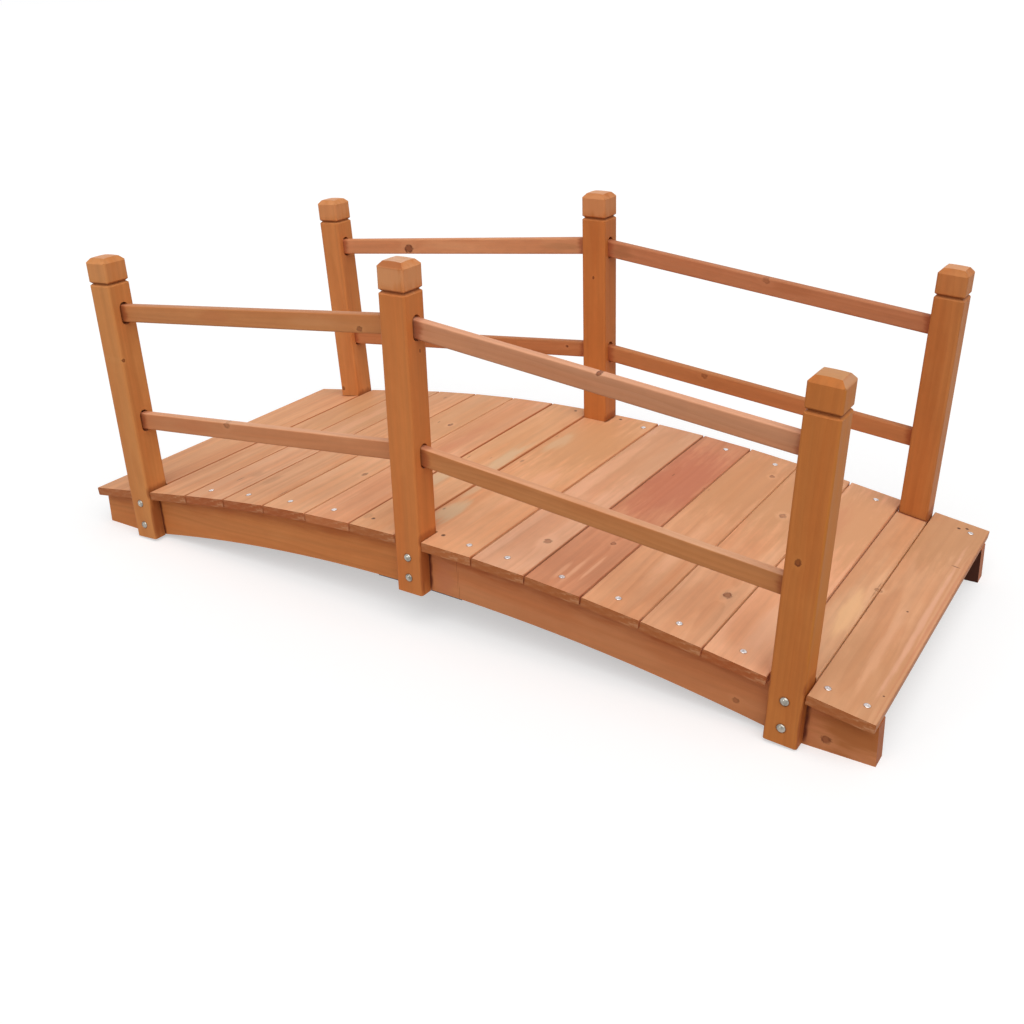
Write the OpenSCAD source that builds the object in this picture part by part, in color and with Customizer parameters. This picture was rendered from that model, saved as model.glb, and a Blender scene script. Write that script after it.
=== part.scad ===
// Arched timber garden bridge with low post-and-rail parapets, millimetres.
// X runs along the walkway, the near side is -Y, Z is up, and the origin is
// the middle of the footprint on the ground. The bridge is the same on both
// sides of the walkway; the deck's boards are laid from the left end.

/* [Overall] */
// Length of the walkway over the end boards
length = 1400; // [1300:10:1500]
// Width over the outer faces of the posts
width = 600; // [500:10:700]
// Height of the middle posts' tops
height = 560; // [540:5:620]

/* [Arch] */
// Height of the deck's upper face at the middle
deck_crown = 145; // [135:1:155]
// Radius of the deck's upper face
deck_radius = 2950; // [2700:25:3300]
// Slope of the deck's straight ends in degrees
deck_slope = 8.8; // [7:0.2:9.6]
// Height of the stringers' undersides at the middle
soffit_crown = 58.8; // [55:0.2:66]
// Radius of the stringers' undersides
soffit_radius = 3050; // [2900:25:3200]

/* [Stringers] */
// Thickness of a stringer
stringer_t = 26; // [24:0.5:28]
// Distance of a stringer's end from the end board's edge
stringer_setback = 1; // [0.5:0.5:6]

/* [Joint straps] */
// Length of the strap under a stringer's middle joint
strap_l = 156; // [120:4:200]
// Width of a strap
strap_w = 22; // [16:1:24]
// Thickness of a strap
strap_t = 2.5; // [2:0.5:4]

/* [Deck] */
// Thickness of a board
board_t = 14; // [12:1:18]
// Open gap between two boards
board_gap = 2.5; // [1.5:0.5:4]
// Distance of the boards' ends from the posts' outer faces
board_inset = 3; // [1:1:10]
// Rounding along a board's long edges
board_r = 1.5; // [1:0.5:3]
// Width of the board at the left end
left_board_w = 136; // [132:1:150]
// Width of the board to the right of the middle posts
middle_board_w = 133; // [120:1:140]
// Width of the short board between the right end posts
filler_board_w = 48; // [46:1:52]
// Width of the board at the right end
right_board_w = 87; // [80:1:87]
// Gap left before and behind a post in a board's notch
notch_gap = 1.5; // [1:0.25:2]
// Gap left beside a post's inner face in a board's notch
notch_side_gap = 0.5; // [0.3:0.1:1.5]
// Narrowest strip of a board that stays beside a notch
ear = 4; // [3:0.5:6]

/* [Posts] */
// Width of a post along the walkway
post_w = 46; // [42:1:48]
// Depth of a post across the walkway
post_d = 44; // [42:0.5:45]
// Rounding along a post's upright edges
post_r = 4; // [2:0.5:5]
// Thickness of a post's leg outside the stringer
leg_t = 21; // [18:0.5:23]
// Distance from an end post's axis to the deck's end, at the deck
end_post_in = 113; // [110:1:116]
// Outward lean of the end posts in degrees
end_post_lean = 3.5; // [2:0.25:5]
// Length of an end post along its axis
end_post_l = 494; // [470:2:520]
// Height of the middle of an end post's foot above the ground
end_post_foot = 4; // [3:0.5:8]
// Height of a middle post's foot above the ground
middle_post_foot = 57; // [52:0.5:62]

/* [Post heads] */
// Height of the head's straight part
head_h = 30; // [24:1:36]
// Height of the groove under the head
groove_h = 8; // [6:0.5:10]
// Depth of the groove
groove_d = 4.5; // [3:0.5:6]
// Rise of the sloping band and the domed top together
cap_rise = 9; // [8:0.5:12]
// Inset of the sloping band
cap_inset = 7.5; // [5:0.5:10]
// Rise of the dome over the top's edge
cap_dome = 0.6; // [0.4:0.1:1]

/* [Rails] */
// Thickness of a rail
rail_t = 14; // [12:0.5:14.5]
// Height of a rail's section
rail_h = 29; // [26:0.5:29.5]
// Rounding along a rail's long edges
rail_r = 3; // [3:0.5:5]
// Height of the upper rail's axis at the middle post's face
upper_mid_z = 464; // [450:1:475]
// Height of the upper rail's axis at the end post's face
upper_end_z = 404; // [396:1:412]
// Height of the lower rail's axis at the middle post's face
lower_mid_z = 273; // [260:1:285]
// Height of the lower rail's axis at the end post's face
lower_end_z = 217; // [208:1:226]
// Length of a rail's end inside its mortise
rail_in = 15; // [12:0.5:17]

/* [Mortises] */
// Width of the round-ended mortise
slot_w = 18; // [18:0.5:19]
// Height of the mortise
slot_h = 38; // [38:0.5:42]
// Distance of the mortise's centre line from the post's outer face
slot_in = 24; // [23:0.5:25]
// Gap between a rail's inner side and the mortise
rail_gap = 0.5; // [0.5:0.1:0.9]

/* [Fit] */
// Gap between two seated pieces
seat = 0.2; // [0.1:0.05:0.4]

/* [Hidden] */
half_l = length / 2;
half_w = width / 2;
post_half = post_w / 2;
// plan lines on one side, measured from the bridge's centre line
post_inner_y = half_w - post_d;
post_mid_y = half_w - post_d / 2;
stringer_outer_y = half_w - leg_t;
stringer_mid_y = stringer_outer_y - stringer_t / 2;
rail_mid_y = half_w - slot_in - slot_w / 2 + rail_gap + rail_t / 2;
board_l = width - 2 * board_inset;

// the deck's upper line: an arc that goes over into a straight slope
arc_half = deck_radius * sin(deck_slope);
arc_end_z = deck_crown - deck_radius * (1 - cos(deck_slope));
function deck_z(x) = abs(x) <= arc_half
    ? deck_crown - deck_radius + sqrt(deck_radius * deck_radius - x * x)
    : arc_end_z - (abs(x) - arc_half) * tan(deck_slope);
function deck_turn(x) = abs(x) <= arc_half ? asin(x / deck_radius) : sign(x) * deck_slope;
// the stringers' upper line lies under the boards; its straight slope is set this
// much low, so that it cuts the arc cleanly
bed = board_t + seat;
bed_radius = deck_radius - bed;
slope_ease = 0.02;
bed_turn_x = bed_radius * sin(deck_slope);
function slope_z(x) = arc_end_z - (x - arc_half) * tan(deck_slope)
    - (bed + slope_ease) / cos(deck_slope);

// the end posts' feet and inner faces
end_post_x = half_l - end_post_in;
foot_x = end_post_x - (deck_z(end_post_x) - end_post_foot) * tan(end_post_lean);
reach = 2 * post_w;
function face_s(z) = (z - end_post_foot - post_half * sin(end_post_lean)) / cos(end_post_lean);
function face_x(z) = foot_x + face_s(z) * sin(end_post_lean) - post_half * cos(end_post_lean);
function rail_drop(mid_z, end_z) = atan2(mid_z - end_z, face_x(end_z) - post_half);

// the boards from left to right; the regular ones share what the others leave
board_count = 15;
// the end boards' roundings take their outer edges back by this much
lip = board_r * (cos(deck_slope) + sin(deck_slope) - 1);
board_w = (length - left_board_w - middle_board_w - filler_board_w - right_board_w
    - (board_count - 1) * board_gap) / 11;
function cover(i) = i == 1 ? left_board_w + lip : i == 8 ? middle_board_w
    : i == 14 ? filler_board_w : i == 15 ? right_board_w + lip : board_w;
function board_x(i) = i == 1 ? -half_l - lip : board_x(i - 1) + cover(i - 1) + board_gap;
notch_y = post_inner_y - notch_side_gap;
notch_half = post_half + notch_gap;

wood_frame = [0.66, 0.42, 0.25];
wood_post = [0.72, 0.46, 0.26];
wood_rail = [0.72, 0.48, 0.33];
wood_deck = [0.84, 0.62, 0.48];
steel_dark = [0.16, 0.18, 0.22];

// a rectangle with rounded corners, centred
module eased(w, h, r) {
    square([w - 2 * r, h], center = true);
    square([w, h - 2 * r], center = true);
    for (x = [-1, 1], y = [-1, 1])
        translate([x * (w / 2 - r), y * (h / 2 - r)]) circle(r = r, $fn = 32);
}

// a shape drawn in X and Z, given thickness t and centred on y
module upright(y, t) {
    translate([0, y, 0]) rotate([90, 0, 0]) linear_extrude(height = t, center = true) children();
}

// right half of the near stringer: a plank sawn to the arc and the slope on top, to the
// arch below and to a flat foot
module stringer() {
    tail = half_l - stringer_setback;
    upright(-stringer_mid_y, stringer_t) difference() {
        polygon([[seat / 2, 0], [tail, 0], [tail, slope_z(tail)], [seat / 2, slope_z(seat / 2)]]);
        difference() {
            translate([-1, 0]) square([bed_turn_x + 1, slope_z(-1)]);
            translate([0, deck_crown - deck_radius]) circle(r = bed_radius, $fn = 720);
        }
        translate([0, soffit_crown - soffit_radius]) circle(r = soffit_radius, $fn = 720);
    }
}

// thin plate that follows the underside across the stringers' joint
module strap() {
    upright(-stringer_mid_y, strap_w) intersection() {
        difference() {
            translate([0, soffit_crown - soffit_radius]) circle(r = soffit_radius - seat, $fn = 720);
            translate([0, soffit_crown - soffit_radius]) circle(r = soffit_radius - seat - strap_t, $fn = 720);
        }
        translate([-strap_l / 2, 0]) square([strap_l, soffit_crown + 10]);
    }
}

// outline of a post seen from one side, 2 * h wide: grooved neck, straight head, sloping band
module post_outline(l, h) {
    neck = l - cap_rise - head_h;
    tip = h - cap_inset * (cap_rise + 1) / (cap_rise - cap_dome);
    polygon([[-h, 0], [h, 0],
        [h, neck - groove_h], [h - groove_d, neck - groove_h / 2], [h, neck],
        [h, l - cap_rise], [tip, l + 1], [-tip, l + 1], [-h, l - cap_rise],
        [-h, neck], [groove_d - h, neck - groove_h / 2], [-h, neck - groove_h]]);
}

// post l high before its lap and mortises are cut, its top a shallow dome
module post_blank(l) {
    top = post_half - cap_inset;
    dome_radius = top * top / (2 * cap_dome) + cap_dome / 2;
    intersection() {
        rotate([90, 0, 0]) linear_extrude(height = post_d, center = true)
            post_outline(l, post_half);
        rotate([90, 0, 90]) linear_extrude(height = post_w, center = true)
            post_outline(l, post_d / 2);
        translate([0, 0, -1]) linear_extrude(height = l + 2) eased(post_w, post_d, post_r);
        union() {
            translate([0, 0, l - dome_radius]) sphere(r = dome_radius, $fn = 180);
            translate([-post_w, -post_w, -1]) cube([2 * post_w, 2 * post_w, l - cap_rise]);
        }
    }
}

// mortise cut inwards from the face at x = post_half, towards -X, centred at height z
module mortise(z) {
    translate([post_half - rail_in - seat, slot_in - post_d / 2, z]) rotate([90, 0, 90])
        linear_extrude(height = rail_in + seat + 1) union() {
            square([slot_w, slot_h - slot_w], center = true);
            for (s = [-1, 1]) translate([0, s * (slot_h - slot_w) / 2]) circle(d = slot_w, $fn = 64);
        }
}

// middle post of the near side, rebated over the stringers
module middle_post() {
    difference() {
        translate([0, -post_mid_y, middle_post_foot]) difference() {
            post_blank(height - middle_post_foot);
            for (s = [0, 1]) mirror([s, 0, 0]) {
                mortise(upper_mid_z - middle_post_foot
                    + rail_in / 2 * tan(rail_drop(upper_mid_z, upper_end_z)));
                mortise(lower_mid_z - middle_post_foot
                    + rail_in / 2 * tan(rail_drop(lower_mid_z, lower_end_z)));
            }
        }
        translate([-post_w, -stringer_outer_y, 0])
            cube([2 * post_w, stringer_t + 1, deck_crown - board_t]);
    }
}

// right end post of the near side, leaning outwards and rebated over the stringer
module end_post() {
    difference() {
        translate([foot_x, -post_mid_y, end_post_foot]) rotate([0, end_post_lean, 0]) difference() {
            post_blank(end_post_l);
            mirror([1, 0, 0]) {
                mortise(face_s(upper_end_z)
                    - rail_in / 2 * tan(rail_drop(upper_mid_z, upper_end_z) - end_post_lean));
                mortise(face_s(lower_end_z)
                    - rail_in / 2 * tan(rail_drop(lower_mid_z, lower_end_z) - end_post_lean));
            }
        }
        upright(0.5 - stringer_mid_y, stringer_t + 1) polygon([
            [end_post_x - reach, -post_w], [end_post_x + reach, -post_w],
            [end_post_x + reach, slope_z(end_post_x + reach) + seat],
            [end_post_x - reach, slope_z(end_post_x - reach) + seat]]);
    }
}

// rail of the near side's right bay, its ends cut parallel to the posts' faces
module rail(mid_z, end_z) {
    drop = rail_drop(mid_z, end_z);
    away = rail_in * cos(end_post_lean);
    low = end_z - 2 * rail_h;
    high = mid_z + 2 * rail_h;
    intersection() {
        translate([post_half, -rail_mid_y, mid_z]) rotate([0, drop, 0])
            translate([-2 * rail_in, 0, 0]) rotate([90, 0, 90])
            linear_extrude(height = half_l) eased(rail_t, rail_h, rail_r);
        upright(-rail_mid_y, rail_t + 2) polygon([
            [post_half - rail_in, low], [face_x(low) + away, low],
            [face_x(high) + away, high], [post_half - rail_in, high]]);
    }
}

// where a notch round a post at p starts and ends on a board from x0 to x1; a strip
// narrower than ear is cut away with it
function notch_from(p, x0) = p - notch_half - x0 < ear ? x0 - 1 : p - notch_half;
function notch_to(p, x1) = x1 - p - notch_half < ear ? x1 + 1 : p + notch_half;

// deck board i, laid flat on the stringers and notched round the posts it meets
module deck_board(i) {
    x0 = board_x(i);
    w = cover(i);
    mid = x0 + w / 2;
    turn = deck_turn(mid);
    flat_w = w / cos(turn);
    translate([mid, 0, deck_z(mid)]) rotate([0, turn, 0]) difference() {
        translate([0, 0, -board_t / 2]) rotate([90, 0, 0])
            linear_extrude(height = board_l, center = true) eased(flat_w, board_t, board_r);
        for (p = [-end_post_x, 0, end_post_x])
            if (p + notch_half > x0 && p - notch_half < x0 + w) {
                a = notch_from(p, x0);
                b = notch_to(p, x0 + w);
                for (s = [-1, 1])
                    translate([(a - mid) / cos(turn), s * (notch_y + post_d) - post_d, -board_t - 1])
                        cube([(b - a) / cos(turn), 2 * post_d, board_t + 2]);
            }
    }
}

module near_left() { mirror([1, 0, 0]) children(); }
module far_left() { mirror([1, 0, 0]) mirror([0, 1, 0]) children(); }
module far_right() { mirror([0, 1, 0]) children(); }

module stringer_near_left() { color(wood_frame) near_left() stringer(); }
module stringer_near_right() { color(wood_frame) stringer(); }
module stringer_far_left() { color(wood_frame) far_left() stringer(); }
module stringer_far_right() { color(wood_frame) far_right() stringer(); }

module strap_near() { color(steel_dark) strap(); }
module strap_far() { color(steel_dark) far_right() strap(); }

module post_near_left() { color(wood_post) near_left() end_post(); }
module post_near_middle() { color(wood_post) middle_post(); }
module post_near_right() { color(wood_post) end_post(); }
module post_far_left() { color(wood_post) far_left() end_post(); }
module post_far_middle() { color(wood_post) far_right() middle_post(); }
module post_far_right() { color(wood_post) far_right() end_post(); }

module rail_near_left_upper() { color(wood_rail) near_left() rail(upper_mid_z, upper_end_z); }
module rail_near_left_lower() { color(wood_rail) near_left() rail(lower_mid_z, lower_end_z); }
module rail_near_right_upper() { color(wood_rail) rail(upper_mid_z, upper_end_z); }
module rail_near_right_lower() { color(wood_rail) rail(lower_mid_z, lower_end_z); }
module rail_far_left_upper() { color(wood_rail) far_left() rail(upper_mid_z, upper_end_z); }
module rail_far_left_lower() { color(wood_rail) far_left() rail(lower_mid_z, lower_end_z); }
module rail_far_right_upper() { color(wood_rail) far_right() rail(upper_mid_z, upper_end_z); }
module rail_far_right_lower() { color(wood_rail) far_right() rail(lower_mid_z, lower_end_z); }

module deck_board_1() { color(wood_deck) deck_board(1); }
module deck_board_2() { color(wood_deck) deck_board(2); }
module deck_board_3() { color(wood_deck) deck_board(3); }
module deck_board_4() { color(wood_deck) deck_board(4); }
module deck_board_5() { color(wood_deck) deck_board(5); }
module deck_board_6() { color(wood_deck) deck_board(6); }
module deck_board_7() { color(wood_deck) deck_board(7); }
module deck_board_8() { color(wood_deck) deck_board(8); }
module deck_board_9() { color(wood_deck) deck_board(9); }
module deck_board_10() { color(wood_deck) deck_board(10); }
module deck_board_11() { color(wood_deck) deck_board(11); }
module deck_board_12() { color(wood_deck) deck_board(12); }
module deck_board_13() { color(wood_deck) deck_board(13); }
module deck_board_14() { color(wood_deck) deck_board(14); }
module deck_board_15() { color(wood_deck) deck_board(15); }

stringer_near_left();
stringer_near_right();
stringer_far_left();
stringer_far_right();
strap_near();
strap_far();
post_near_left();
post_near_middle();
post_near_right();
post_far_left();
post_far_middle();
post_far_right();
rail_near_left_upper();
rail_near_left_lower();
rail_near_right_upper();
rail_near_right_lower();
rail_far_left_upper();
rail_far_left_lower();
rail_far_right_upper();
rail_far_right_lower();
deck_board_1();
deck_board_2();
deck_board_3();
deck_board_4();
deck_board_5();
deck_board_6();
deck_board_7();
deck_board_8();
deck_board_9();
deck_board_10();
deck_board_11();
deck_board_12();
deck_board_13();
deck_board_14();
deck_board_15();
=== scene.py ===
# %% [markdown]
# # A small arched garden bridge in stained softwood
# The bridge arrives as a fixed frame: thirty-five solids, already in their places, in
# metres. This lesson dresses them. The timber keeps its shapes and gets a solid-wood
# finish, and the small steel parts, bolts, nuts and screws, are modelled here.

# %% Load the frame
import math
import random

import bmesh
import bpy
from mathutils import Matrix, Vector


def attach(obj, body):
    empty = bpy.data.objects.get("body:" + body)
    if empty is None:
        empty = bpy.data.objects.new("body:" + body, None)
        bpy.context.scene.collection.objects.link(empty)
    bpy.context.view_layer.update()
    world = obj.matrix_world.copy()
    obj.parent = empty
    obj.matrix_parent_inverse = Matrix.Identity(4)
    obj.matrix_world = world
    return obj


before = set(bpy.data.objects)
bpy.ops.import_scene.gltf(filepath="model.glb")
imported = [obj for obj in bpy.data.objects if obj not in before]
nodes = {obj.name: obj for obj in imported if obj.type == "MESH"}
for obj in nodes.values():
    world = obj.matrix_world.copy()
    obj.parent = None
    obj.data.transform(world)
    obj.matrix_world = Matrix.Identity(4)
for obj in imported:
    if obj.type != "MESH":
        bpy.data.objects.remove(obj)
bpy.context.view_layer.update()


# %% [markdown]
# ## The camera
# A picture of this kind is taken from about a metre up, some way off one corner. A camera
# could be aimed with angles in its panel, but here it is set by where it stands and by
# three directions, right, up and back, which are the columns of its matrix, because they
# can be read and checked. The shift slides the picture in its frame without turning the
# camera, so the posts keep their lean.

# %% Place the camera
CAMERA_PLACE = (1.00447, -1.51100, 0.93182)
LENS, SENSOR = 41.722, 36
SHIFT = (-0.03787, -0.10730)
turn, dip, roll = (math.radians(angle) for angle in (31.8355, 20.2937, -1.02914))
ahead = Vector((-math.sin(turn) * math.cos(dip), math.cos(turn) * math.cos(dip), -math.sin(dip)))
level = Vector((math.cos(turn), math.sin(turn), 0))
above = level.cross(ahead)
right = level * math.cos(roll) + above * math.sin(roll)
up = above * math.cos(roll) - level * math.sin(roll)

camera_data = bpy.data.cameras.new("camera")
camera_data.lens, camera_data.sensor_width = LENS, SENSOR
camera_data.shift_x, camera_data.shift_y = SHIFT
camera = bpy.data.objects.new("camera", camera_data)
camera.matrix_world = Matrix.Translation(CAMERA_PLACE) @ Matrix(
    (right, up, -ahead)).transposed().to_4x4()
bpy.context.scene.collection.objects.link(camera)
bpy.context.scene.camera = camera
print("camera stands", round(camera.matrix_world.translation.length, 2), "m from the middle")

# %% [markdown]
# ## Pens for node trees
# Every finish here is a tree of shader nodes. A tree can be wired by hand in the editor,
# but thirty-three planks that each get a tree of their own ask for code. Small helpers
# keep it short: one puts a node down and feeds it, and the others do a sum, a soft step,
# a blend or a noise. A socket that is handed in gets linked, a plain value gets typed in.

# %% Helpers for single nodes
def linear(r, g, b):
    """A colour from 0 to 255 as a shader's linear numbers."""
    def one(c):
        c /= 255
        return c / 12.92 if c <= 0.04045 else ((c + 0.055) / 1.055) ** 2.4
    return one(r), one(g), one(b), 1.0


def feed(tree, node, feeds):
    for key, value in feeds.items():
        if isinstance(value, bpy.types.NodeSocket):
            tree.links.new(value, node.inputs[key])
        else:
            node.inputs[key].default_value = value
    return node


def put(tree, kind, feeds=None, **options):
    """Adds a node, sets its options and feeds its inputs."""
    node = tree.nodes.new("ShaderNode" + kind)
    for name, value in options.items():
        setattr(node, name, value)
    return feed(tree, node, feeds or {})


def vector(tree, operation, a, b=(0, 0, 0), scale=None):
    feeds = {0: a, 1: b} if scale is None else {0: a, 3: scale}
    node = put(tree, "VectorMath", feeds, operation=operation)
    return node.outputs[1 if operation in ("LENGTH", "DOT_PRODUCT") else 0]


def facing(tree, normal, direction):
    """1 where the surface looks in the direction, 0 square to it, -1 the other way."""
    return vector(tree, "DOT_PRODUCT", normal, tuple(direction))


def blend(tree, factor, a, b):
    return put(tree, "Mix", {0: factor, 6: a, 7: b}, data_type="RGBA").outputs[2]


def noise(tree, at, scale, detail=2.0, rough=0.5, out="Fac"):
    """Noise with its own scale along each of the three directions."""
    spread = vector(tree, "MULTIPLY", at, scale)
    return put(tree, "TexNoise", {"Vector": spread, "Scale": 1.0, "Detail": detail,
                                  "Roughness": rough}).outputs[out]


# %% Helpers for sums
def calc(tree, operation, a, b=0.0, c=0.0):
    return put(tree, "Math", {0: a, 1: b, 2: c}, operation=operation).outputs[0]


def add(tree, a, b):
    return calc(tree, "ADD", a, b)


def less(tree, a, b):
    return calc(tree, "SUBTRACT", a, b)


def times(tree, a, b):
    return calc(tree, "MULTIPLY", a, b)


def long_side(tree, a, b):
    """The long side of a right-angled triangle with the short sides a and b."""
    return calc(tree, "SQRT", add(tree, times(tree, a, a), times(tree, b, b)))


def between(tree, share, low, high):
    """Turns 0 to 1 into low to high."""
    return calc(tree, "MULTIPLY_ADD", share, high - low, low)


def step(tree, value, low, high):
    """0 below low, 1 above high, and a soft slope between."""
    node = put(tree, "MapRange", {0: value, 1: low, 2: high}, interpolation_type="SMOOTHSTEP")
    return node.outputs[0]


def fall(tree, value, low, high):
    """1 below low and 0 above high."""
    return less(tree, 1.0, step(tree, value, low, high))


# %% Helpers for groups and materials
def new_group(name, inputs, outputs):
    """A node group with named sockets: its tree, what it is given and its output node."""
    tree = bpy.data.node_groups.new(name, "ShaderNodeTree")
    for way, sockets in (("INPUT", inputs), ("OUTPUT", outputs)):
        for label, kind in sockets.items():
            tree.interface.new_socket(name=label, in_out=way, socket_type="NodeSocket" + kind)
    return tree, tree.nodes.new("NodeGroupInput").outputs, tree.nodes.new("NodeGroupOutput")


def put_out(tree, result, **sockets):
    feed(tree, result, sockets)
    print("group", tree.name, "has", len(tree.nodes), "nodes")


def use(tree, group, feeds):
    """Places a group in a tree, feeds it and gives its outputs."""
    node = tree.nodes.new("ShaderNodeGroup")
    node.node_tree = group
    return feed(tree, node, feeds).outputs


def new_material(name):
    material = bpy.data.materials.new(name)
    material.use_nodes = True
    material.node_tree.nodes.clear()
    return material, material.node_tree


# %% [markdown]
# ## Floor, backdrop and light
# The bridge stands on a plain white studio floor. A wide soft sun from high up in front
# gives one gentle shadow, a small lamp low in front puts a little edge on the steel and
# the timber, and the world fills in the rest. Together they light an upward face at
# strength one, so a colour renders as it is written. The floor looks whiter to the camera
# and to mirrors than it is as a lamp, which keeps the background clean without flooding
# the timber with light from below.

# %% Lay the floor
def seen_by_eye(tree):
    """1 for what the camera, a mirror or glass looks at, 0 for light on its way."""
    path = put(tree, "LightPath").outputs
    seen = calc(tree, "MAXIMUM", path["Is Camera Ray"], path["Is Glossy Ray"])
    return calc(tree, "MAXIMUM", seen, path["Is Transmission Ray"])


bm = bmesh.new()
bmesh.ops.create_circle(bm, cap_ends=True, segments=64, radius=40)
floor_mesh = bpy.data.meshes.new("studio_floor")
bm.to_mesh(floor_mesh)
bm.free()
floor = bpy.data.objects.new("studio_floor", floor_mesh)
bpy.context.scene.collection.objects.link(floor)

AS_LAMP, AS_SEEN, GLOW = (0.35, 0.34, 0.33, 1), (0.6, 0.6, 0.6, 1), 0.46
floor_paint, tree = new_material("studio_white")
seen = seen_by_eye(tree)
body = put(tree, "BsdfDiffuse", {"Color": blend(tree, seen, AS_LAMP, AS_SEEN)})
glow = put(tree, "Emission", {"Color": (1, 1, 1, 1), "Strength": times(tree, seen, GLOW)})
both = put(tree, "AddShader", {0: body.outputs[0], 1: glow.outputs[0]})
put(tree, "OutputMaterial", {"Surface": both.outputs[0]})
floor_mesh.materials.append(floor_paint)
print("floor is", round(floor.dimensions.x), "m wide")

# %% Hang the light
SKY_AS_LAMP, SKY_AS_SEEN = 0.42, 1.0
world = bpy.data.worlds.new("studio")
world.use_nodes = True
tree = world.node_tree
tree.nodes.clear()
strength = between(tree, seen_by_eye(tree), SKY_AS_LAMP, SKY_AS_SEEN)
sky = put(tree, "Background", {"Color": (1, 1, 1, 1), "Strength": strength})
put(tree, "OutputWorld", {"Surface": sky.outputs[0]})
bpy.context.scene.world = world

# (name, strength, how wide it is in degrees, the direction it shines from)
lamps = (("soft_sun", 1.97, 70, (0.39, -0.42, 0.87)),
         ("small_lamp", 0.25, 9, (-0.36, -0.92, 0.25)))
for name, energy, width, source in lamps:
    sun_data = bpy.data.lights.new(name, "SUN")
    sun_data.energy = energy
    sun_data.angle = math.radians(width)
    sun = bpy.data.objects.new(name, sun_data)
    sun.rotation_mode = "QUATERNION"
    sun.rotation_quaternion = Vector(source).to_track_quat("Z", "Y")
    bpy.context.scene.collection.objects.link(sun)
bpy.context.scene.view_settings.view_transform = "Standard"
print("lamps:", len(lamps))

# %% [markdown]
# ## Timber
# A plank is cut out of a tree, so its figure is solid: yearly rings round a centre that
# usually lies outside the plank, with fine fibres along the grain. A flat picture of
# grain would not agree from face to face, so the figure is counted out in space. The
# group works in the plank's own directions, x across its face, y into its thickness and
# z along the grain. It measures the distance to the tree's centre, bends it a little,
# counts the rings, and darkens each ring towards its late, dense edge. A good year gives
# a strong ring and a poor one a faint ring, so each gets a strength of its own. The stain
# soaks in unevenly, which leaves broad warm bands and pale patches along the grain.

# %% Node group: timber
timber, given, result = new_group(
    "timber",
    {"Vector": "Vector", "Seed": "Float", "Ring": "Float", "Centre X": "Float",
     "Centre Y": "Float", "Contrast": "Float", "Swell": "Float", "Base": "Color",
     "Late": "Color", "Warm": "Color", "Pale": "Color"},
    {"Color": "Color", "Height": "Float", "Roughness": "Float"})
t = timber
shift = put(t, "CombineXYZ", {axis: times(t, given["Seed"], per_seed)
                              for axis, per_seed in enumerate((7.13, 3.71, 5.37))}).outputs[0]
place = vector(t, "ADD", given["Vector"], shift)
sway = vector(t, "SUBTRACT", noise(t, place, (9, 9, 2.2), out="Color"), (0.5, 0.5, 0.5))
sway = vector(t, "MULTIPLY", sway, (0.04, 0.04, 0))
bent = put(t, "SeparateXYZ", {0: vector(t, "ADD", given["Vector"], sway)}).outputs
away = long_side(t, less(t, bent[0], given["Centre X"]), less(t, bent[1], given["Centre Y"]))
away = add(t, away, given["Swell"])
uneven = noise(t, place, (34, 34, 2.5), detail=1)
years = add(t, calc(t, "DIVIDE", away, given["Ring"]), times(t, uneven, 2.4))
year = calc(t, "FRACT", years)
which = add(t, calc(t, "FLOOR", years), given["Seed"])
good = put(t, "TexWhiteNoise", {"W": which}, noise_dimensions="1D").outputs["Value"]
late = times(t, step(t, year, 0.1, 0.85), fall(t, year, 0.85, 1.0))
late = times(t, late, between(t, good, 0.25, 1.0))

streak = noise(t, place, (80, 80, 2.6), detail=3, rough=0.6)
fibre = noise(t, place, (900, 900, 14), rough=0.6)
band = noise(t, place, (24, 24, 1.8))
blotch = noise(t, place, (20, 20, 6), detail=3, rough=0.55)
mottle = noise(t, place, (110, 110, 60))
colour = blend(t, times(t, step(t, band, 0.42, 0.66), 0.75), given["Base"], given["Warm"])
colour = blend(t, times(t, step(t, blotch, 0.48, 0.7), 0.6), colour, given["Pale"])
colour = blend(t, times(t, late, given["Contrast"]), colour, given["Late"])
tone = times(t, between(t, streak, 0.82, 1.18), between(t, fibre, 0.955, 1.045))
tone = times(t, tone, between(t, mottle, 0.95, 1.05))
put_out(t, result, Color=vector(t, "SCALE", colour, scale=tone),
        Height=add(t, times(t, fibre, 0.5), times(t, late, 0.3)),
        Roughness=between(t, streak, 0.52, 0.70))

# %% [markdown]
# ## Knots
# A knot is a branch that the trunk grew round: a small hard disc with a dark rim where
# its bark was, darker on one side than on the other. It runs through the plank, so it is
# measured as the distance from a line through the thickness. Its swell is added to the
# distance that the rings are counted from, and the grain then flows round it as it does
# in a real board.

# %% Node group: knot
knot, given, result = new_group(
    "knot",
    {"Vector": "Vector", "Centre": "Vector", "Through": "Vector", "Radius": "Float",
     "Share": "Float", "Seed": "Float"},
    {"Core": "Float", "Rim": "Float", "Swell": "Float", "Halo": "Float"})
t = knot
out = vector(t, "SUBTRACT", given["Vector"], given["Centre"])
along = vector(t, "DOT_PRODUCT", out, given["Through"])
flat = vector(t, "SUBTRACT", out, vector(t, "SCALE", given["Through"], scale=along))
flat = vector(t, "MULTIPLY", flat, (1, 1, 0.78))
elsewhere = vector(t, "ADD", out, put(t, "CombineXYZ", {0: given["Seed"]}).outputs[0])
wobble = noise(t, elsewhere, (170, 170, 170), detail=3, rough=0.6)
near = calc(t, "DIVIDE", vector(t, "LENGTH", flat), given["Radius"])
near = add(t, near, between(t, wobble, -0.95, 0.95))
one_sided = noise(t, vector(t, "ADD", out, given["Centre"]), (150, 150, 150), detail=1)
rim = less(t, step(t, near, 0.35, 0.85), step(t, near, 0.9, 1.4))
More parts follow.
